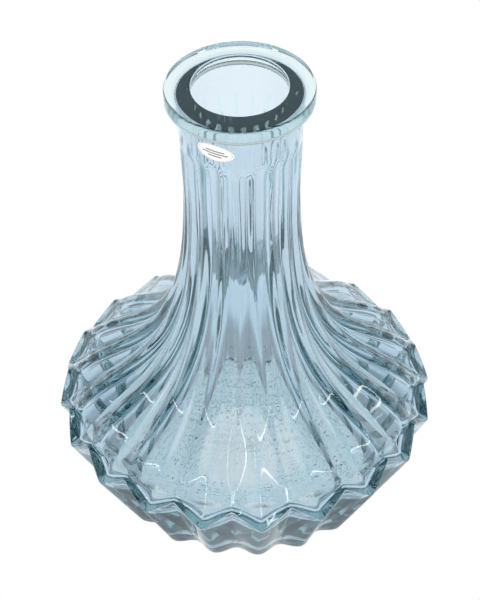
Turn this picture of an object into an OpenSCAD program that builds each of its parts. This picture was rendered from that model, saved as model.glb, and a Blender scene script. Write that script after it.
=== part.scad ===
// Ribbed glass flask vase: a wide belly with a zigzag edge on a star-shaped foot,
// a trumpet shoulder, a round neck with a flat disc lip, and a small oval label.
// Millimetres, +Z up. The origin is the middle of the foot's underside, and a rib
// tip of the star edge points along -Y, the front.

/* [Foot and belly edge] */
// Overall height, foot to lip
height = 245; // [235:1:255]
// Radius of the foot at the star's tips
foot_tip_r = 72.4; // [70:0.2:75]
// Radius of the foot in the star's valleys
foot_valley_r = 67.5; // [65:0.2:69]
// Radius of the widest edge at the star's tips
edge_tip_r = 96.6; // [94:0.2:99]
// Radius of the widest edge in the star's valleys
edge_valley_r = 93; // [92:0.2:94]
// Height of the widest edge at the star's tips
edge_tip_z = 46.8; // [44:0.2:48]
// Height of the widest edge in the star's valleys
edge_valley_z = 56.8; // [55:0.2:57.4]
// Bevel round the underside of the foot
foot_bevel = 1.2; // [0.5:0.1:2]

/* [Ribs] */
// Number of ribs round the vessel
rib_count = 20; // [16:4:24]
// Depth of the grooves between ribs, as a share of the rib spacing
groove_share = 0.165; // [0.1:0.005:0.18]
// Roundness of the rib crests, as a share of half a rib
crest_round = 0.2; // [0.1:0.05:0.6]

/* [Shoulder] */
// How far in from the crests' edge the shoulder heads before it turns up
shoulder_in = 24; // [22:0.5:26]
// How far up the shoulder heads before it turns up
shoulder_up = 27.5; // [26:0.5:30]
// Height where the shoulder's heading and the neck's line would meet
flare_z = 77; // [75:1:90]

/* [Neck and lip] */
// Radius of the neck at its waist, over the rib crests
waist_r = 28; // [27:0.1:28.6]
// Radius of the plain band below the lip
band_r = 29.1; // [28.8:0.1:30]
// Height of the neck's waist, where the shoulder's curve ends
waist_z = 187; // [180:1:195]
// Height where the ribs have faded into the plain band
band_z = 221; // [215:1:224]
// Radius of the disc lip
lip_r = 35; // [33:0.5:38]
// Thickness of the disc lip
lip_h = 7.6; // [6:0.2:9]
// Radius of the straight bore through lip and neck
bore_r = 22.5; // [21:0.1:23]
// Length of the straight bore, down from the lip
bore_h = 77; // [70:1:85]

/* [Glass thickness] */
// Height of the inside floor above the foot
floor_h = 6; // [5.5:0.5:10]
// Radius of the flat inside floor
floor_r = 58; // [54:0.5:59.5]
// Thickness of the glass behind the valleys of the belly's edge
edge_wall = 8; // [7.5:0.5:10]
// Height where the inner shoulder's heading and the bore's line would meet
inner_flare_z = 70; // [66:1:72]
// Radius of the shallow hollow under the foot
hollow_r = 63; // [55:0.5:63.5]
// Height of the hollow in the middle of the foot
hollow_h = 3; // [1:0.5:3]

/* [Label] */
// Width of the oval label round the neck
label_w = 18; // [14:0.2:22]
// Height of the oval label
label_h = 8.6; // [7:0.2:11]
// Height of the label's middle above the foot
label_z = 227.6; // [226:0.2:229]
// Turn of the label from the front, towards -X, in degrees
label_turn = 28; // [0:1:45]
// Tilt of the label on the neck, in degrees
label_tilt = 5; // [-10:1:10]
// Thickness of the label's face stock
film_h = 0.2; // [0.15:0.01:0.3]
// Thickness of the label's adhesive
glue_h = 0.15; // [0.1:0.01:0.2]

/* [Hidden] */
// smoothness of the round surfaces
$fn = 96;
// points across one rib and rings up the shoulder
rib_points = 8;
shoulder_rings = 14;
// the grooves keep this share of their depth to this far below the plain band
fading_share = 0.7;
fading_h = 9;
// radius and height of the belly's upper edge on the rib crests
crest_r = edge_valley_r - 3;
crest_z = edge_valley_z + 1.2;
// how far the upper edge moves out and down from a crest to a tip
bevel_out = 1.9;
bevel_down = 8;
// outer curve of the rib crests, [radius, height], from the belly's edge to the waist
crest_curve = [[crest_r, crest_z], [crest_r - shoulder_in, crest_z + shoulder_up],
               [waist_r, flare_z], [waist_r, waist_z]];
// inner surface, [radius, height]: round the floor's corner, then the belly's bulge, then the shoulder
corner_h = 6;
corner_curve = [[floor_r, floor_h], [floor_r + 5, floor_h],
                [floor_r + 7, floor_h + corner_h / 4], [floor_r + 8.5, floor_h + corner_h]];
bulge_r = edge_valley_r - edge_wall;
bulge_low_z = edge_tip_z - 3;
bulge_high_z = edge_tip_z + 6;
bulge_curve = [[bulge_r - 2, bulge_low_z], [bulge_r, bulge_low_z + 4],
               [bulge_r, bulge_high_z - 3], [bulge_r - 2.4, bulge_high_z]];
bore_foot_z = height - bore_h;
// steps across the hollow under the foot
hollow_steps = 12;
inner_curve = [[bulge_r - 2.4, bulge_high_z], [bulge_r - shoulder_in, bulge_high_z + shoulder_in],
               [bore_r, inner_flare_z], [bore_r, bore_foot_z]];
// overlap where solids are joined or cut
lap = 1;
// how far the ribbed skin stays inside the plain band where they meet
seam = 0.05;
// how far the adhesive stays inside the label's edge, and the number of sides of the label's outline
glue_inset = 0.4;
label_sides = 48;
// easing of the lip's edges, and the size and steps of the fillet under the lip
lip_ease = 1.2;
ease_step = 15;
fillet = 2;

function bezier(p, t) =
    pow(1 - t, 3) * p[0] + 3 * pow(1 - t, 2) * t * p[1] + 3 * (1 - t) * t * t * p[2] + pow(t, 3) * p[3];

function bezier_heading(p, t) =
    pow(1 - t, 2) * (p[1] - p[0]) + 2 * (1 - t) * t * (p[2] - p[1]) + t * t * (p[3] - p[2]);

function curve_points(p, steps) = [for (i = [0 : steps]) bezier(p, i / steps)];

// Place across a rib: 0 on the crest line, 1 on the line of the star's tips
function across(i) = abs(1 - 2 * (i % rib_points) / rib_points);

// Section of a rib, 0 on its rounded crest and 1 in the sharp groove
function rib_section(v) =
    (sqrt(v * v + crest_round * crest_round) - crest_round) / (sqrt(1 + crest_round * crest_round) - crest_round);

// Depth of the grooves where the crests are at radius r
function groove_depth(r) = groove_share * 2 * PI * r / rib_count;

function shoulder_point(t, v) =
    let (c = bezier(crest_curve, t))
    let (h = bezier_heading(crest_curve, t))
    let (across_skin = [h[1], -h[0]] / norm(h))
    c - across_skin * groove_depth(c[0]) * rib_section(v);

function foot_radius(v) = foot_valley_r + (foot_tip_r - foot_valley_r) * (1 - cos(180 * v)) / 2;

// Upper neck, where the grooves fade into the plain band
function fading_point(v) =
    let (up = (band_z - fading_h - waist_z) / (band_z - waist_z))
    [waist_r + (band_r - waist_r) * up - fading_share * groove_depth(waist_r) * rib_section(v), band_z - fading_h];

// One ring of the ribbed skin as [radius, height] for a place across a rib
function skin_point(ring, v) =
    ring == 0 ? [foot_radius(v) - foot_bevel, -lap] :
    ring == 1 ? [foot_radius(v) - foot_bevel, 0] :
    ring == 2 ? [foot_radius(v), foot_bevel] :
    ring == 3 ? [edge_valley_r + (edge_tip_r - edge_valley_r) * v,
                 edge_valley_z + (edge_tip_z - edge_valley_z) * v] :
    ring == 4 ? [crest_r + bevel_out * rib_section(v), crest_z - bevel_down * rib_section(v)] :
    ring <= 4 + shoulder_rings ? shoulder_point((ring - 4) / shoulder_rings, v) :
    ring == 5 + shoulder_rings ? fading_point(v) :
    [band_r - seam, band_z];

function turned(p, angle) = [p[0] * cos(angle), p[0] * sin(angle), p[1]];

module ribbed_skin() {
    around = rib_count * rib_points;
    rings = shoulder_rings + 7;
    points = [for (j = [0 : rings - 1]) for (i = [0 : around - 1])
        turned(skin_point(j, across(i)), 360 * i / around - 90)];
    sides = [for (j = [0 : rings - 2]) for (i = [0 : around - 1])
        let (a = j * around + i)
        let (b = j * around + (i + 1) % around)
        each [[a, a + around, b], [b, a + around, b + around]]];
    bottom = [for (i = [0 : around - 1]) i];
    top = [for (i = [around - 1 : -1 : 0]) (rings - 1) * around + i];
    polyhedron(points = points, faces = concat(sides, [bottom, top]));
}

// Point on the lip's eased edge at angle a, round a centre at height z
function eased_corner(a, z) = [lip_r - lip_ease + lip_ease * cos(a), z + lip_ease * sin(a)];

// Plain band and disc lip, with eased edges on the disc and a fillet under it
module band_and_lip() {
    under_z = height - lip_h;
    under_lip = [for (a = [180 : -ease_step : 90])
        [band_r + fillet + fillet * cos(a), under_z - fillet + fillet * sin(a)]];
    lower_ease = [for (a = [-90 : ease_step : 0]) eased_corner(a, under_z + lip_ease)];
    upper_ease = [for (a = [0 : ease_step : 90]) eased_corner(a, height - lip_ease)];
    below = [[0, band_z - lap], [band_r, band_z - lap]];
    rotate_extrude() polygon(concat(below, under_lip, lower_ease, upper_ease, [[0, height]]));
}

module cavity() {
    outline = concat(
        [[0, floor_h]],
        curve_points(corner_curve, 6),
        curve_points(bulge_curve, 6),
        curve_points(inner_curve, 14),
        [[0, bore_foot_z]]
    );
    rotate_extrude() polygon(outline);
    translate([0, 0, bore_foot_z - lap]) cylinder(r = bore_r, h = bore_h + 2 * lap);
}

// Height of the hollow under the foot at radius r
function hollow_height(r) = hollow_h * pow(1 - pow(r / hollow_r, 2), 2);

// Hollow that leaves the vessel standing on a ring near the foot's edge
module foot_hollow() {
    dome = [for (i = [0 : hollow_steps])
        let (r = hollow_r * i / hollow_steps)
        [r, hollow_height(r)]];
    rotate_extrude() polygon(concat([[0, -lap]], dome, [[hollow_r, -lap]]));
}

// Blown vessel, all one piece of glass
module glass_vessel() {
    color([0.55, 0.68, 0.77])
    difference() {
        union() {
            ribbed_skin();
            band_and_lip();
        }
        cavity();
        foot_hollow();
        translate([0, 0, -5 * lap]) cylinder(r = 2 * edge_tip_r, h = 5 * lap);
    }
}

// Oval patch wrapped on the band, between two radii
module label_patch(inner_r, outer_r, inset) {
    half_w = label_w / 2 - inset;
    half_h = label_h / 2 - inset;
    intersection() {
        translate([0, 0, label_z - label_h]) difference() {
            cylinder(r = outer_r, h = 2 * label_h);
            translate([0, 0, -lap]) cylinder(r = inner_r, h = 2 * label_h + 2 * lap);
        }
        rotate([0, 0, -label_turn]) translate([0, 0, label_z]) rotate([90, 0, 0]) rotate([0, 0, -label_tilt])
            linear_extrude(height = outer_r + lap)
                polygon([for (i = [0 : label_sides - 1])
                    [half_w * cos(360 * i / label_sides), half_h * sin(360 * i / label_sides)]]);
    }
}

// Clear adhesive between the label and the glass
module label_adhesive() {
    color([0.86, 0.85, 0.8]) label_patch(band_r, band_r + glue_h, glue_inset);
}

// White face stock of the label
module label_film() {
    color([0.96, 0.96, 0.93]) label_patch(band_r + glue_h, band_r + glue_h + film_h, 0);
}

glass_vessel();
label_adhesive();
label_film();
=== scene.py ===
import math

import bpy
import numpy as np
from mathutils import Matrix, Vector, noise


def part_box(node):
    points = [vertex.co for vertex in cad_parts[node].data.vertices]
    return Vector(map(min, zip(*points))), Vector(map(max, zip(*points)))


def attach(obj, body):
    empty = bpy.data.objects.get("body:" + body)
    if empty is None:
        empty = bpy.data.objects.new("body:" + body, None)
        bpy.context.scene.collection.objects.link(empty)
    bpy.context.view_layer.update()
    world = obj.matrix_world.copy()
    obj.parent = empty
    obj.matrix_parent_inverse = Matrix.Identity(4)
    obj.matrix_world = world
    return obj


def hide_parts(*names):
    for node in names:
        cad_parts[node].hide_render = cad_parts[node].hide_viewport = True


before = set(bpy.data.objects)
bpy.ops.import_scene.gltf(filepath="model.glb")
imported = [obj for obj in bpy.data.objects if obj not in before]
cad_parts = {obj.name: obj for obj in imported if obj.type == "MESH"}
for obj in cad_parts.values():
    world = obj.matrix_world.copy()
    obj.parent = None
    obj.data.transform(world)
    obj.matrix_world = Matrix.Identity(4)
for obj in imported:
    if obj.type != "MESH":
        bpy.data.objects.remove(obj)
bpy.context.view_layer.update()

# Looks for the ribbed glass flask vase. Lengths are in metres, in the CAD frame: +Z up, the
# origin under the foot, a tip of the star edge towards -Y. Profiles are (radius, height).

MM = 0.001
glass_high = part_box("glass_vessel")[1]

# ---- sizes shared with the CAD model ----
HEIGHT = glass_high.z
EDGE_TIP_R = glass_high.x
EDGE_TIP_Z = 46.8 * MM
EDGE_VALLEY_R = 93 * MM
EDGE_VALLEY_Z = 56.8 * MM
FOOT_TIP_R = 72.4 * MM
FOOT_VALLEY_R = 67.5 * MM
FOOT_BEVEL = 1.2 * MM
HOLLOW_R = 63 * MM
HOLLOW_H = 3 * MM
RIBS = 20
GROOVE_SHARE = 0.165
CREST_ROUND = 0.2
GROOVE_FADE = 9 * MM
# the ribs' crests start in from and above the edge's valleys, and the grooves further out and down
BEVEL_IN = 3 * MM
BEVEL_UP = 1.2 * MM
BEVEL_OUT = 1.9 * MM
BEVEL_DOWN = 8 * MM
SHOULDER_IN = 24 * MM
SHOULDER_UP = 27.5 * MM
FLARE_Z = 77 * MM
WAIST_R = 28 * MM
WAIST_Z = 187 * MM
BAND_R = 29.1 * MM
BAND_Z = 221 * MM
LIP_R = 35 * MM
LIP_H = 7.6 * MM
LIP_EASE = 1.2 * MM
BORE_R = 22.5 * MM
BORE_FOOT_Z = HEIGHT - 77 * MM
INNER_FLARE_Z = 70 * MM
FLOOR_H = 6 * MM
FLOOR_R = 58 * MM
LABEL_W = 18 * MM
LABEL_H = 8.6 * MM
LABEL_Z = 227.6 * MM
LABEL_TURN = math.radians(28)
LABEL_TILT = math.radians(5)

# ---- shape that only the visual model has ----
TIP_ROUND = 0.05
GROOVE_ROUND = 0.07
EDGE_EASE = 0.7 * MM
BEVEL_EASE = 0.5 * MM
MOUTH_EASE = 1.4 * MM
FILLET = 1.5 * MM
# share of the shoulder's curve at which the edge's bevel joins it
BEVEL_SHARE = 0.08
# glass behind the valleys of the edge, and how far in and up the inner shoulder heads
EDGE_WALL = 6.5 * MM
INNER_IN = 21 * MM
INNER_UP = 23 * MM
# how far the inside follows the ribs and the star, and the share of the star that is left by the floor
INNER_FOLLOW = 0.9
STAR_FOLLOW = 0.6
CORNER_STAR = 0.3
# streaks along the inside, dimples in the floor, and the height or width over which they fade
STREAK = 0.15 * MM
STREAK_TURN = math.radians(5)
STREAK_LENGTH = 45 * MM
DIMPLE = 0.25 * MM
DIMPLE_SIZE = 4 * MM
DIMPLE_SHIFT = Vector((7, 3, 5))
UNDER_DIMPLE = 0.4 * MM
DETAIL_FADE = 6 * MM

# ---- points across a rib and rings up the vessel ----
RIB_SAMPLES = 24
BUNCHING = 0.6
HOLLOW_RINGS = 75
FOOT_RINGS = 9
CORNER_RINGS = 5
WALL_RINGS = 16
EDGE_RINGS = 4
BEVEL_RINGS = 8
SHOULDER_RINGS = 70
NECK_RINGS = 26
BAND_RINGS = 6
UNDER_LIP_RINGS = 3
LIP_SIDE_RINGS = 4
LIP_TOP_RINGS = 6
MOUTH_RINGS = 7
BORE_RINGS = 30
INNER_RINGS = 60
INNER_EASE_RINGS = 12
EVEN_RINGS = 6
BULGE_RINGS = 10
INNER_WALL_RINGS = 18
INNER_CORNER_RINGS = 10
FLOOR_RINGS = 30

# ---- colour of the glass ----
# the tint runs from clear through the underside's and the outside's to the star wall's, which is deeper as
# painted shade on the downward-facing wall under the overhang
CLEAR_TINT = (0.97, 0.985, 0.98, 1)
UNDER_TINT = (0.62, 0.80, 0.85, 1)
OUTER_TINT = (0.61, 0.71, 0.83, 1)
STAR_SHADE_TINT = (0.45, 0.64, 0.80, 1)
UNDER_LEVEL = 0.25
OUTER_LEVEL = 0.5
LIP_LEVEL = 0.15
# painted shade added in the middle of a groove, from nothing at this place across the rib
GROOVE_SHADE_LEVEL = 0.5
GROOVE_SHADE_SIDE = 0.7
# level round the underside, which is clear in its middle
UNDER_EDGE_LEVEL = 0.3
UNDER_MIDDLE_R = 24 * MM
UNDER_EDGE_R = 34 * MM
# rings counted from the foot of the star wall, where the underside's level ends and the others start
UNDER_END = -9
STAR_SHADE_START = 4
GROOVE_SHADE_START = 36
# the lip's top is clear down to this depth, and the band is this wide to each side of its radius
TOP_CLEAR = 1 * MM
BAND_REACH = 2 * MM
GLASS_ABSORB = (0.25, 0.53, 0.56, 1)
GLASS_DENSITY = 25
GLASS_IOR = 1.56
# peened marks: their width, angle along a ring and depth, and the threshold of their noise and its softness
PIT_SIZE = 1.6 * MM
PIT_TURN = math.radians(4)
PIT_DEPTH = 0.3 * MM
PIT_THRESHOLD = 0.66
PIT_SOFT = 0.1
# the marks fade out by this height, and are weaker inside this radius
PIT_TOP = 13 * MM
PIT_RING_R = 28 * MM
PIT_RING_SOFT = 8 * MM
PIT_MIDDLE = 0.3

# ---- label ----
# thin border, as squared share of the oval's size, and the height and half length of each rule
BORDER = (0.80, 0.85)
RULES = [(0.9 * MM, 4.6 * MM), (-0.5 * MM, 6.2 * MM), (-1.9 * MM, 3.4 * MM)]
RULE_HALF = 0.4 * MM
FIBRES_PER_M = 2500
BUBBLES_PER_M = 1500

# ---- stage ----
FLOOR_SIZE = 30
FLOOR_DROP = 0.3 * MM
# glow that the floor gives the glass, a painted shadow in a ring under the overhang and a painted pool of
# light inside the ring
FLOOR_GLOW = 0.8
FLOOR_SHADE = 0.6
FLOOR_PAINTED_LIGHT = 0.1
SHADE_INNER = (70 * MM, 5 * MM)
SHADE_OUTER = (97 * MM, 8 * MM)
# lights: degrees from the front, half width in degrees, sine of the lowest and highest elevation, strength
FRONT_BOX = (0, 60, 0.42, 0.85, 0.55)
FRONT_STRIP = (0, 80, 0.645, 0.655, 13.0)
BACK_BOX = (180, 60, 0.42, 0.85, 0.9)
LEFT_CARD = (-90, 45, 0.0, 0.5, 1.0)
RIGHT_CARD = (90, 45, 0.0, 0.5, 1.0)
FRONT_CARD = (0, 60, -0.1, 0.42, 0.9)
BACK_CARD = (180, 60, -0.1, 0.3, 0.5)
LIGHTS = [FRONT_BOX, FRONT_STRIP, BACK_BOX, LEFT_CARD, RIGHT_CARD, FRONT_CARD, BACK_CARD]
LIGHT_SOFT = 0.004

# ---- camera, looking down at the front of the vase ----
CAMERA_TURN = math.radians(-4.16)
CAMERA_ELEVATION = math.radians(43.03)
CAMERA_ROLL = math.radians(1.12)
CAMERA_DISTANCE = 968.6 * MM
CAMERA_TARGET = Vector((-1.8 * MM, 0, 111.7 * MM))
CAMERA_LENS = 116.06
CAMERA_FAR = 100


def make_camera():
    turn = Matrix.Rotation(CAMERA_TURN, 3, "Z")
    back = turn @ Vector((0, -math.cos(CAMERA_ELEVATION), math.sin(CAMERA_ELEVATION)))
    side = turn @ Vector((1, 0, 0))
    up = back.cross(side)
    c, s = math.cos(CAMERA_ROLL), math.sin(CAMERA_ROLL)
    axes = (side * c - up * s, side * s + up * c, back)
    camera = bpy.data.objects.new("camera", bpy.data.cameras.new("camera"))
    bpy.context.scene.collection.objects.link(camera)
    camera.data.lens = CAMERA_LENS
    camera.data.clip_end = CAMERA_FAR
    matrix = Matrix([[a[i] for a in axes] for i in range(3)]).to_4x4()
    matrix.translation = turn @ CAMERA_TARGET + back * CAMERA_DISTANCE
    camera.matrix_world = matrix
    bpy.context.scene.camera = camera


# ---- curves and rib sections ----
def bezier(p, t):
    """Point of a cubic curve."""
    p = [np.asarray(q, float) for q in p]
    return (1 - t) ** 3 * p[0] + 3 * (1 - t) ** 2 * t * p[1] + 3 * (1 - t) * t * t * p[2] + t ** 3 * p[3]


def bezier_heading(p, t):
    """Heading of a cubic curve, of any length."""
    p = [np.asarray(q, float) for q in p]
    return (1 - t) ** 2 * (p[1] - p[0]) + 2 * (1 - t) * t * (p[2] - p[1]) + t * t * (p[3] - p[2])


def eased(v, ease):
    """0 to 1 like v, with a rounded start: a smooth stand-in for a sharp corner at v = 0."""
    return (np.sqrt(v * v + ease * ease) - ease) / (math.sqrt(1 + ease * ease) - ease)


def wave(v, crest_ease, tip_ease):
    """0 to 1 like v, rounded at both ends."""
    return 1 - eased(1 - eased(v, crest_ease), tip_ease)


def smooth_step(x):
    x = min(max(x, 0), 1)
    return x * x * (3 - 2 * x)


# ribs' crests from the edge to the waist, and the inside from the floor to the bore
CREST_R = EDGE_VALLEY_R - BEVEL_IN
CREST_Z = EDGE_VALLEY_Z + BEVEL_UP
CREST_CURVE = [
    (CREST_R, CREST_Z),
    (CREST_R - SHOULDER_IN, CREST_Z + SHOULDER_UP),
    (WAIST_R, FLARE_Z),
    (WAIST_R, WAIST_Z),
]
CORNER_CURVE = [
    (FLOOR_R, FLOOR_H),
    (FLOOR_R + 5 * MM, FLOOR_H),
    (FLOOR_R + 7 * MM, FLOOR_H + 1.5 * MM),
    (FLOOR_R + 8.5 * MM, FLOOR_H + 6 * MM),
]
BULGE_R = EDGE_VALLEY_R - EDGE_WALL
BULGE_LOW_Z = EDGE_TIP_Z - 3 * MM
BULGE_HIGH_Z = EDGE_TIP_Z + 6 * MM
BULGE_CURVE = [
    (BULGE_R - 2 * MM, BULGE_LOW_Z),
    (BULGE_R, BULGE_LOW_Z + 4 * MM),
    (BULGE_R, BULGE_HIGH_Z - 3 * MM),
    (BULGE_R - 2.4 * MM, BULGE_HIGH_Z),
]
INNER_CURVE = [
    BULGE_CURVE[3],
    (BULGE_R - INNER_IN, BULGE_HIGH_Z + INNER_UP),
    (BORE_R, INNER_FLARE_Z),
    (BORE_R, BORE_FOOT_Z),
]

# place across each rib, 1 on the star's tips and 0 on the crests, with points bunched at both
around = RIBS * RIB_SAMPLES
rib_share = np.arange(around) / RIB_SAMPLES % 1
rib_share = rib_share - BUNCHING * np.sin(4 * np.pi * rib_share) / (4 * np.pi)
across = np.abs(1 - 2 * rib_share)
angles = (np.arange(around) // RIB_SAMPLES + rib_share) * 2 * np.pi / RIBS - np.pi / 2
section = wave(across, CREST_ROUND, GROOVE_ROUND)
star = wave(across, TIP_ROUND, TIP_ROUND)
soft_star = (1 - np.cos(np.pi * across)) / 2


# ---- rings ----
def station(r, z):
    """One ring of the skin, (around, 2), from a radius and a height that may vary round it."""
    return np.stack([np.broadcast_to(r, around), np.broadcast_to(z, around)], 1).astype(float)


def between(a, b, steps, last=False):
    """Rings evenly spaced after ring a and before ring b, with or without b itself."""
    return [a + (b - a) * i / steps for i in range(1, steps + 1 if last else steps)]


def corner(before, at, after, ease, steps=CORNER_RINGS):
    """Rings round an eased edge at one ring, between its neighbours."""
    into = at - before
    out = after - at
    start = at - into / np.linalg.norm(into, axis=1, keepdims=True) * ease
    end = at + out / np.linalg.norm(out, axis=1, keepdims=True) * ease
    ts = [i / steps for i in range(steps + 1)]
    return [(1 - t) ** 2 * start + 2 * (1 - t) * t * at + t * t * end for t in ts]


def groove_depth(r):
    """Depth of the grooves where the crests are at radius r."""
    return GROOVE_SHARE * 2 * math.pi * r / RIBS


def hollow(r):
    """Ring of the shallow hollow under the foot."""
    return station(r, HOLLOW_H * (1 - (r / HOLLOW_R) ** 2) ** 2)


def shoulder(t):
    """Ring of the ribbed shoulder, at a share of its curve."""
    c = bezier(CREST_CURVE, t)
    h = bezier_heading(CREST_CURVE, t)
    out = np.array([h[1], -h[0]]) / np.linalg.norm(h)
    return c - np.outer(section, out) * groove_depth(c[0])


def neck(z):
    """Ring of the upper neck, where the grooves end in rounded tops below the plain band."""
    up = (z - WAIST_Z) / (BAND_Z - WAIST_Z)
    r = WAIST_R + (BAND_R - WAIST_R) * min(up, 1)
    left = smooth_step((BAND_Z - z) / GROOVE_FADE)
    return station(r - groove_depth(WAIST_R) * section * left, z)


def outer_rings():
    """Rings from the middle of the underside to the plain band, and the star wall's first row."""
    ring_inner = station(HOLLOW_R, 0)
    foot = station(FOOT_VALLEY_R + (FOOT_TIP_R - FOOT_VALLEY_R) * soft_star, 0)
    edge = station(EDGE_VALLEY_R + (EDGE_TIP_R - EDGE_VALLEY_R) * star,
                   EDGE_VALLEY_Z + (EDGE_TIP_Z - EDGE_VALLEY_Z) * star)
    crease = station(CREST_R + BEVEL_OUT * section, CREST_Z - BEVEL_DOWN * section)
    first = shoulder(BEVEL_SHARE)
    foot_corner = corner(ring_inner, foot, edge, FOOT_BEVEL)
    edge_corner = corner(foot, edge, crease, EDGE_EASE)
    crease_corner = corner(edge, crease, first, BEVEL_EASE)
    rings = [hollow(HOLLOW_R * i / HOLLOW_RINGS) for i in range(1, HOLLOW_RINGS + 1)]
    rings += between(ring_inner, foot, FOOT_RINGS)
    rings += foot_corner
    wall_row = len(rings)
    rings += between(foot_corner[-1], edge_corner[0], WALL_RINGS)
    rings += edge_corner
    rings += between(edge_corner[-1], crease_corner[0], EDGE_RINGS)
    rings += crease_corner
    rings += between(crease_corner[-1], first, BEVEL_RINGS, last=True)
    for i in range(1, SHOULDER_RINGS + 1):
        rings.append(shoulder(BEVEL_SHARE + (1 - BEVEL_SHARE) * i / SHOULDER_RINGS))
    for i in range(1, NECK_RINGS + 1):
        rings.append(neck(WAIST_Z + (BAND_Z - WAIST_Z) * i / NECK_RINGS))
    return rings, wall_row


def lip_rings():
    """Rings from the plain band round the lip to just inside the mouth."""
    under = HEIGHT - LIP_H
    band_top = station(BAND_R, under)
    lip_low = station(LIP_R, under)
    lip_high = station(LIP_R, HEIGHT)
    mouth = station(BORE_R, HEIGHT)
    bore = station(BORE_R, BORE_FOOT_Z)
    band_start = station(BAND_R, BAND_Z)
    fillet = corner(band_start, band_top, lip_low, FILLET)
    low = corner(band_top, lip_low, lip_high, LIP_EASE)
    high = corner(lip_low, lip_high, mouth, LIP_EASE)
    rim = corner(lip_high, mouth, bore, MOUTH_EASE, MOUTH_RINGS)
    rings = between(band_start, fillet[0], BAND_RINGS) + fillet
    rings += between(fillet[-1], low[0], UNDER_LIP_RINGS) + low
    rings += between(low[-1], high[0], LIP_SIDE_RINGS) + high
    rings += between(high[-1], rim[0], LIP_TOP_RINGS) + rim
    return rings


def follow(r, z, tilt):
    """An inner ring that ripples softly in and out behind the ribs."""
    depth = groove_depth(max(r, 1e-4)) * INNER_FOLLOW * soft_star
    return station(r - depth * tilt[0], z - depth * tilt[1])


def starry(r, z, share):
    """An inner ring that reaches out a little into the star's tips."""
    outer_tip = FOOT_TIP_R + (EDGE_TIP_R - FOOT_TIP_R) * z / EDGE_TIP_Z
    outer_valley = FOOT_VALLEY_R + (EDGE_VALLEY_R - FOOT_VALLEY_R) * z / EDGE_VALLEY_Z
    return station(r + (outer_tip - outer_valley) * STAR_FOLLOW * share * soft_star, z)


def inner_rings():
    """Rings of the inside, from the mouth down to the middle of the floor."""
    rim_end = station(BORE_R, HEIGHT - MOUTH_EASE)
    bore_foot = station(BORE_R, BORE_FOOT_Z)
    rings = between(rim_end, bore_foot, BORE_RINGS, last=True)
    for i in range(1, INNER_RINGS + 1):
        h = bezier_heading(INNER_CURVE, 1 - i / INNER_RINGS)
        c = bezier(INNER_CURVE, 1 - i / INNER_RINGS)
        across_skin = np.array([h[1], -h[0]]) / np.linalg.norm(h)
        rings.append(follow(c[0], c[1], across_skin * min(i / INNER_EASE_RINGS, 1)))
    for i in range(1, BULGE_RINGS + 1):
        rings.append(starry(*bezier(BULGE_CURVE, 1 - i / BULGE_RINGS), i / BULGE_RINGS))
    wall_top = starry(*BULGE_CURVE[0], 1)
    wall_foot = starry(*CORNER_CURVE[3], CORNER_STAR)
    rings += between(wall_top, wall_foot, INNER_WALL_RINGS, last=True)
    for i in range(1, INNER_CORNER_RINGS + 1):
        rings.append(station(*bezier(CORNER_CURVE, 1 - i / INNER_CORNER_RINGS)))
    rings += [station(FLOOR_R * (1 - i / FLOOR_RINGS), FLOOR_H) for i in range(1, FLOOR_RINGS)]
    return rings


def skin_points(rings):
    """Places of the rings' points, a (rings, around, 3) grid."""
    r = np.array([ring[:, 0] for ring in rings])
    z = np.array([ring[:, 1] for ring in rings])
    return np.stack([r * np.cos(angles), r * np.sin(angles), z], 2)


# ---- small unevenness of moulded glass ----
def ripple(points, normals):
    """Soft streaks along the ribs in the inside of moulded glass, and dimples in its floor."""
    moved = points.copy()
    for row in range(points.shape[0]):
        for i in range(points.shape[1]):
            x, y, z = points[row, i]
            r = math.hypot(x, y) + 1e-9
            level = max(0, min(1, (z - FLOOR_H) / DETAIL_FADE))
            place = Vector((x / r / STREAK_TURN, y / r / STREAK_TURN, z / STREAK_LENGTH))
            streak = noise.noise(place) * STREAK * level
            dimple = noise.noise(Vector((x, y, z)) / DIMPLE_SIZE + DIMPLE_SHIFT) * DIMPLE * (1 - level)
            moved[row, i] += normals[row, i] * (streak + dimple)
    return moved


def ripple_under(points):
    """Dimples in the hollow under the foot; the ring that the vase stands on stays flat."""
    moved = points.copy()
    for row in range(points.shape[0]):
        for i in range(points.shape[1]):
            x, y, z = points[row, i]
            level = max(0, min(1, (HOLLOW_R - math.hypot(x, y)) / DETAIL_FADE))
            dimple = (0.5 + noise.noise(Vector((x, y, 0)) / DIMPLE_SIZE)) * UNDER_DIMPLE * level
            moved[row, i, 2] += max(dimple, 0)
    return moved


def grid_normals(grid):
    """Unit normals of a (rings, around, 3) grid, from its neighbours."""
    along = np.gradient(grid, axis=0)
    across_grid = np.roll(grid, -1, axis=1) - np.roll(grid, 1, axis=1)
    normal = np.cross(across_grid, along)
    return normal / np.maximum(np.linalg.norm(normal, axis=2, keepdims=True), 1e-12)


# ---- vessel ----
def closed_skin(name, grid, start, end, levels):
    """A closed mesh from rings of points, with a single point at each end and a tint and painted shade
    level per point.
    """
    count = len(grid)
    points = np.concatenate([grid.reshape(-1, 3), [start], [end]])
    i = np.arange(around)
    j = (i + 1) % around
    faces = []
    for row in range(count - 1):
        a, b = row * around, (row + 1) * around
        faces.append(np.stack([a + i, a + j, b + j, b + i], 1))
    faces = np.concatenate(faces).tolist()
    first, last = count * around, count * around + 1
    faces += [[first, int(m), int(n)] for m, n in zip(j, i)]
    top = (count - 1) * around
    faces += [[last, top + int(n), top + int(m)] for m, n in zip(j, i)]
    mesh = bpy.data.meshes.new(name)
    mesh.from_pydata(points.tolist(), [], faces)
    mesh.shade_smooth()
    tint = mesh.attributes.new("tint_and_shade_level", "FLOAT", "POINT")
    tint.data.foreach_set("value", list(levels) + [levels[0], levels[-1]])
    piece = bpy.data.objects.new(name, mesh)
    bpy.context.scene.collection.objects.link(piece)
    return piece


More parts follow.
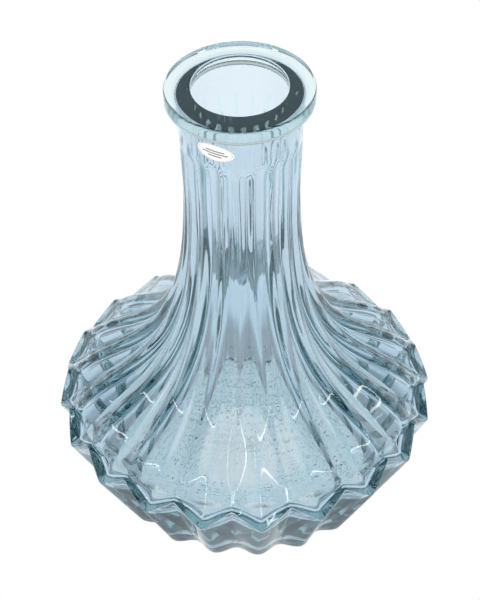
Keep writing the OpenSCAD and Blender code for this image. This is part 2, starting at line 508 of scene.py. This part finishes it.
def tint_and_shade_levels(grid, outer_count, lip_count, wall_row):
    """Place in the tint's ramp for each point of the skin; the inside and the lip's top are clear, and the
    star wall and the grooves' middles take the deeper tint as painted shade.
    """
    r = np.hypot(grid[:, :, 0], grid[:, :, 1])
    below_top = grid[:, :, 2] <= HEIGHT - TOP_CLEAR
    row = np.arange(len(grid))[:, None] + 0 * r
    on_outer = row < outer_count
    on_lip = ~on_outer & (row < outer_count + lip_count) & below_top
    levels = np.where(on_outer | (on_lip & (r > BAND_R - BAND_REACH)), OUTER_LEVEL, 0)
    levels = np.where(on_lip & (r > BAND_R + BAND_REACH), LIP_LEVEL, levels)
    # the star wall's rings take the deepest tint: painted shade under the overhang
    on_shaded_star = (row >= wall_row + STAR_SHADE_START) & (row < wall_row + WALL_RINGS - 1)
    levels = np.where(on_shaded_star, 1, levels)
    out = np.clip((r - UNDER_MIDDLE_R) / (UNDER_EDGE_R - UNDER_MIDDLE_R), 0, 1)
    levels = np.where(row < wall_row + UNDER_END, UNDER_EDGE_LEVEL * out, levels)
    # the grooves' middles are pushed towards the deep tint: painted shade in the creases
    groove_shade = GROOVE_SHADE_LEVEL * np.clip((across - GROOVE_SHADE_SIDE) / (1 - GROOVE_SHADE_SIDE), 0, 1) ** 2
    return np.where(on_outer & (row >= wall_row + GROOVE_SHADE_START), levels + groove_shade, levels)


def make_vessel():
    """The vase's outside and inside, as one closed glass mesh."""
    outer, wall_row = outer_rings()
    lip = lip_rings()
    grid = skin_points(outer + lip + inner_rings())
    uneven = len(outer) + len(lip) + EVEN_RINGS
    grid[uneven:] = ripple(grid[uneven:], grid_normals(grid[uneven:]))
    grid[:HOLLOW_RINGS] = ripple_under(grid[:HOLLOW_RINGS])
    levels = tint_and_shade_levels(grid, len(outer), len(lip), wall_row)
    return closed_skin("glass_flask", grid, (0, 0, HOLLOW_H), (0, 0, FLOOR_H), levels.reshape(-1))


# ---- nodes ----
def new_material(name):
    material = bpy.data.materials.new(name)
    material.use_nodes = True
    nodes = material.node_tree.nodes
    return material, nodes, material.node_tree.links, nodes["Principled BSDF"]


def math_node(nodes, links, operation, first, second=0.0):
    """A Math node; its inputs are sockets or numbers. Returns its output."""
    node = nodes.new("ShaderNodeMath")
    node.operation = operation
    for socket, value in zip(node.inputs, (first, second)):
        if isinstance(value, bpy.types.NodeSocket):
            links.new(value, socket)
        else:
            socket.default_value = value
    return node.outputs["Value"]


def length(nodes, links, x, y):
    """Square root of the sum of two sockets' squares."""
    x_square = math_node(nodes, links, "POWER", x, 2)
    y_square = math_node(nodes, links, "POWER", y, 2)
    return math_node(nodes, links, "SQRT", math_node(nodes, links, "ADD", x_square, y_square))


def ramp_up(nodes, links, value, middle, soft):
    """0 below a value and 1 above it, with a soft edge."""
    ramp = nodes.new("ShaderNodeMapRange")
    ramp.interpolation_type = "SMOOTHSTEP"
    ramp.inputs["From Min"].default_value = middle - soft
    ramp.inputs["From Max"].default_value = middle + soft
    links.new(value, ramp.inputs["Value"])
    return ramp.outputs["Result"]


def within(nodes, links, value, low, high):
    """1 where a socket's value lies between two numbers, else 0."""
    above = math_node(nodes, links, "GREATER_THAN", value, low)
    below = math_node(nodes, links, "LESS_THAN", value, high)
    return math_node(nodes, links, "MULTIPLY", above, below)


# ---- materials ----
def glass_material():
    """Clear glass with absorption in its volume, tinted at its surface with painted shade on the star wall
    and in the grooves, and peened on its floor.
    """
    material, nodes, links, shader = new_material("slate_blue_glass")
    level = nodes.new("ShaderNodeAttribute")
    level.attribute_name = "tint_and_shade_level"
    tint = nodes.new("ShaderNodeValToRGB")
    stops = tint.color_ramp.elements
    stops[0].color = CLEAR_TINT
    stops[1].color = STAR_SHADE_TINT
    stops.new(OUTER_LEVEL).color = OUTER_TINT
    stops.new(UNDER_LEVEL).color = UNDER_TINT
    links.new(level.outputs["Fac"], tint.inputs["Fac"])
    links.new(tint.outputs["Color"], shader.inputs["Base Color"])
    links.new(peened(nodes, links), shader.inputs["Normal"])
    shader.inputs["Roughness"].default_value = 0.0
    shader.inputs["IOR"].default_value = GLASS_IOR
    shader.inputs["Transmission Weight"].default_value = 1
    absorb = nodes.new("ShaderNodeVolumeAbsorption")
    absorb.inputs["Color"].default_value = GLASS_ABSORB
    absorb.inputs["Density"].default_value = GLASS_DENSITY
    links.new(absorb.outputs["Volume"], nodes["Material Output"].inputs["Volume"])
    return material


def peened(nodes, links):
    """Short marks round the floor and the underside of the foot, as a bumped normal."""
    place = nodes.new("ShaderNodeTexCoord")
    apart = nodes.new("ShaderNodeSeparateXYZ")
    links.new(place.outputs["Object"], apart.inputs["Vector"])
    x, y, z = apart.outputs["X"], apart.outputs["Y"], apart.outputs["Z"]
    out = length(nodes, links, x, y)
    turn = math_node(nodes, links, "ARCTAN2", x, math_node(nodes, links, "MULTIPLY", y, -1))
    polar = nodes.new("ShaderNodeCombineXYZ")
    links.new(math_node(nodes, links, "MULTIPLY", out, 1 / PIT_SIZE), polar.inputs["X"])
    links.new(math_node(nodes, links, "MULTIPLY", turn, 1 / PIT_TURN), polar.inputs["Y"])
    links.new(math_node(nodes, links, "MULTIPLY", z, 1 / PIT_SIZE), polar.inputs["Z"])
    pits = nodes.new("ShaderNodeTexNoise")
    pits.inputs["Scale"].default_value = 1
    pits.inputs["Detail"].default_value = 1
    links.new(polar.outputs["Vector"], pits.inputs["Vector"])
    spread = ramp_up(nodes, links, out, PIT_RING_R, PIT_RING_SOFT)
    spread = math_node(nodes, links, "MAXIMUM", spread, PIT_MIDDLE)
    level = nodes.new("ShaderNodeMapRange")
    level.inputs["From Min"].default_value = PIT_TOP
    level.inputs["From Max"].default_value = FLOOR_H
    links.new(z, level.inputs["Value"])
    peaks = ramp_up(nodes, links, pits.outputs["Fac"], PIT_THRESHOLD, PIT_SOFT)
    peaks = math_node(nodes, links, "MULTIPLY", peaks, spread)
    peaks = math_node(nodes, links, "MULTIPLY", peaks, level.outputs["Result"])
    bump = nodes.new("ShaderNodeBump")
    bump.inputs["Strength"].default_value = 1
    bump.inputs["Distance"].default_value = PIT_DEPTH
    links.new(peaks, bump.inputs["Height"])
    return bump.outputs["Normal"]


def label_place(nodes, links):
    """Label coordinates: across and up the label, from its middle, as sockets in metres."""
    place = nodes.new("ShaderNodeTexCoord")
    turn = nodes.new("ShaderNodeMapping")
    turn.inputs["Rotation"].default_value = (0, 0, LABEL_TURN)
    turn.inputs["Location"].default_value = (0, 0, -LABEL_Z)
    tilt = nodes.new("ShaderNodeMapping")
    tilt.inputs["Rotation"].default_value = (0, -LABEL_TILT, 0)
    apart = nodes.new("ShaderNodeSeparateXYZ")
    links.new(place.outputs["Object"], turn.inputs["Vector"])
    links.new(turn.outputs["Vector"], tilt.inputs["Vector"])
    links.new(tilt.outputs["Vector"], apart.inputs["Vector"])
    return apart.outputs["X"], apart.outputs["Z"]


def label_print(nodes, links):
    """1 on the label's thin border and on its three rules, else 0."""
    x, z = label_place(nodes, links)
    wide = math_node(nodes, links, "DIVIDE", x, LABEL_W / 2)
    high = math_node(nodes, links, "DIVIDE", z, LABEL_H / 2)
    square = math_node(nodes, links, "ADD", math_node(nodes, links, "POWER", wide, 2),
                       math_node(nodes, links, "POWER", high, 2))
    printed = within(nodes, links, square, *BORDER)
    for height, half in RULES:
        line = within(nodes, links, z, height - RULE_HALF, height + RULE_HALF)
        line = math_node(nodes, links, "MULTIPLY", line, within(nodes, links, x, -half, half))
        printed = math_node(nodes, links, "MAXIMUM", printed, line)
    return printed


def label_material():
    """Satin paper with a thin printed border and three plain rules, and a faint glow that paints extra
    light on it.
    """
    material, nodes, links, shader = new_material("label_paper")
    fibre = nodes.new("ShaderNodeTexNoise")
    fibre.inputs["Scale"].default_value = FIBRES_PER_M
    paper = nodes.new("ShaderNodeMix")
    paper.data_type = "RGBA"
    paper.inputs["A"].default_value = (0.92, 0.925, 0.89, 1)
    paper.inputs["B"].default_value = (0.96, 0.965, 0.93, 1)
    ink = nodes.new("ShaderNodeMix")
    ink.data_type = "RGBA"
    ink.inputs["B"].default_value = (0.10, 0.10, 0.11, 1)
    bump = nodes.new("ShaderNodeBump")
    bump.inputs["Strength"].default_value = 0.15
    bump.inputs["Distance"].default_value = 0.05 * MM
    links.new(fibre.outputs["Fac"], paper.inputs["Factor"])
    links.new(fibre.outputs["Fac"], bump.inputs["Height"])
    links.new(paper.outputs["Result"], ink.inputs["A"])
    links.new(label_print(nodes, links), ink.inputs["Factor"])
    links.new(ink.outputs["Result"], shader.inputs["Base Color"])
    links.new(bump.outputs["Normal"], shader.inputs["Normal"])
    shader.inputs["Roughness"].default_value = 0.42
    # a faint glow: painted light that brightens the paper
    shader.inputs["Emission Color"].default_value = (1, 1, 0.96, 1)
    shader.inputs["Emission Strength"].default_value = 0.2
    return material


def adhesive_material():
    """Milky clear adhesive with small trapped bubbles."""
    material, nodes, links, shader = new_material("label_adhesive_film")
    bubbles = nodes.new("ShaderNodeTexVoronoi")
    bubbles.inputs["Scale"].default_value = BUBBLES_PER_M
    ramp = nodes.new("ShaderNodeValToRGB")
    ramp.color_ramp.elements[0].color = (0.70, 0.70, 0.66, 1)
    ramp.color_ramp.elements[1].position = 0.4
    ramp.color_ramp.elements[1].color = (0.84, 0.84, 0.80, 1)
    links.new(bubbles.outputs["Distance"], ramp.inputs["Fac"])
    links.new(ramp.outputs["Color"], shader.inputs["Base Color"])
    shader.inputs["Roughness"].default_value = 0.3
    return material


# ---- stage ----
def floor_glow(nodes, links):
    """Strength of the floor's glow on the glass, with a painted shadow in a ring under the vase's overhang
    and a painted pool of light inside the ring.
    """
    place = nodes.new("ShaderNodeTexCoord")
    out = nodes.new("ShaderNodeVectorMath")
    out.operation = "LENGTH"
    links.new(place.outputs["Object"], out.inputs[0])
    past_inner = ramp_up(nodes, links, out.outputs["Value"], *SHADE_INNER)
    past_outer = ramp_up(nodes, links, out.outputs["Value"], *SHADE_OUTER)
    ring = math_node(nodes, links, "SUBTRACT", past_inner, past_outer)
    shade = math_node(nodes, links, "MULTIPLY", ring, FLOOR_SHADE)
    under = math_node(nodes, links, "SUBTRACT", 1.0, past_inner)
    painted_light = math_node(nodes, links, "MULTIPLY", under, FLOOR_PAINTED_LIGHT)
    share = math_node(nodes, links, "ADD", math_node(nodes, links, "SUBTRACT", 1.0, shade), painted_light)
    return math_node(nodes, links, "MULTIPLY", share, FLOOR_GLOW)


def make_floor():
    """Pale floor, just below the foot; the camera sees it as plain white."""
    mesh = bpy.data.meshes.new("floor")
    side = FLOOR_SIZE
    corners = [(-side, -side, 0), (side, -side, 0), (side, side, 0), (-side, side, 0)]
    mesh.from_pydata(corners, [], [(0, 1, 2, 3)])
    floor = bpy.data.objects.new("floor", mesh)
    bpy.context.scene.collection.objects.link(floor)
    floor.location.z = -FLOOR_DROP
    material, nodes, links, shader = new_material("white_floor")
    shader.inputs["Base Color"].default_value = (0.85, 0.85, 0.85, 1)
    shader.inputs["Specular IOR Level"].default_value = 0
    shader.inputs["Roughness"].default_value = 1
    shader.inputs["Emission Color"].default_value = (1, 1, 1, 1)
    # the glow on the glass carries the painted shadow ring and the painted pool of light under the vase
    links.new(floor_glow(nodes, links), shader.inputs["Emission Strength"])
    seen = nodes.new("ShaderNodeEmission")
    path = nodes.new("ShaderNodeLightPath")
    mix = nodes.new("ShaderNodeMixShader")
    links.new(path.outputs["Is Camera Ray"], mix.inputs["Fac"])
    links.new(shader.outputs["BSDF"], mix.inputs[1])
    links.new(seen.outputs["Emission"], mix.inputs[2])
    links.new(mix.outputs["Shader"], nodes["Material Output"].inputs["Surface"])
    mesh.materials.append(material)


def light_strength(nodes, links, x, y, z, light):
    """Strength of one light towards a direction (x, y level and of unit length, z up)."""
    turn, half, low, high, strength = light
    turn, half = math.radians(turn), math.radians(half)
    facing = math_node(nodes, links, "ADD", math_node(nodes, links, "MULTIPLY", x, math.sin(turn)),
                       math_node(nodes, links, "MULTIPLY", y, -math.cos(turn)))
    lit = ramp_up(nodes, links, facing, math.cos(half), LIGHT_SOFT * math.sin(half))
    lit = math_node(nodes, links, "MULTIPLY", lit, ramp_up(nodes, links, z, low, LIGHT_SOFT))
    above = math_node(nodes, links, "SUBTRACT", 1.0, ramp_up(nodes, links, z, high, LIGHT_SOFT))
    return math_node(nodes, links, "MULTIPLY", math_node(nodes, links, "MULTIPLY", lit, above), strength)


def make_world():
    """Softboxes, a strip and cards round the vase in a dark room; the camera sees plain white."""
    world = bpy.data.worlds.new("studio")
    bpy.context.scene.world = world
    world.use_nodes = True
    nodes, links = world.node_tree.nodes, world.node_tree.links
    nodes.clear()
    where = nodes.new("ShaderNodeTexCoord")
    apart = nodes.new("ShaderNodeSeparateXYZ")
    links.new(where.outputs["Generated"], apart.inputs["Vector"])
    x, y, z = apart.outputs["X"], apart.outputs["Y"], apart.outputs["Z"]
    level = math_node(nodes, links, "MAXIMUM", length(nodes, links, x, y), 0.001)
    x, y = math_node(nodes, links, "DIVIDE", x, level), math_node(nodes, links, "DIVIDE", y, level)
    total = 0.0
    for light in LIGHTS:
        total = math_node(nodes, links, "ADD", total, light_strength(nodes, links, x, y, z, light))
    lit = nodes.new("ShaderNodeBackground")
    seen = nodes.new("ShaderNodeBackground")
    seen.inputs["Color"].default_value = (1, 1, 1, 1)
    mix = nodes.new("ShaderNodeMixShader")
    path = nodes.new("ShaderNodeLightPath")
    out = nodes.new("ShaderNodeOutputWorld")
    links.new(total, lit.inputs["Strength"])
    links.new(path.outputs["Is Camera Ray"], mix.inputs["Fac"])
    links.new(lit.outputs["Background"], mix.inputs[1])
    links.new(seen.outputs["Background"], mix.inputs[2])
    links.new(mix.outputs["Shader"], out.inputs["Surface"])


make_camera()
make_floor()
make_world()
vessel = make_vessel()
vessel.data.materials.append(glass_material())
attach(vessel, "root")
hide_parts("glass_vessel")
for node, material in (("label_film", label_material()), ("label_adhesive", adhesive_material())):
    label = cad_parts[node]
    label.data.materials.clear()
    label.data.materials.append(material)

bpy.context.scene.view_settings.view_transform = "Standard"
# thick glass bends and reflects light many times before it leaves
cycles = bpy.context.scene.cycles
cycles.max_bounces = 40
cycles.transmission_bounces = 40
cycles.glossy_bounces = 20
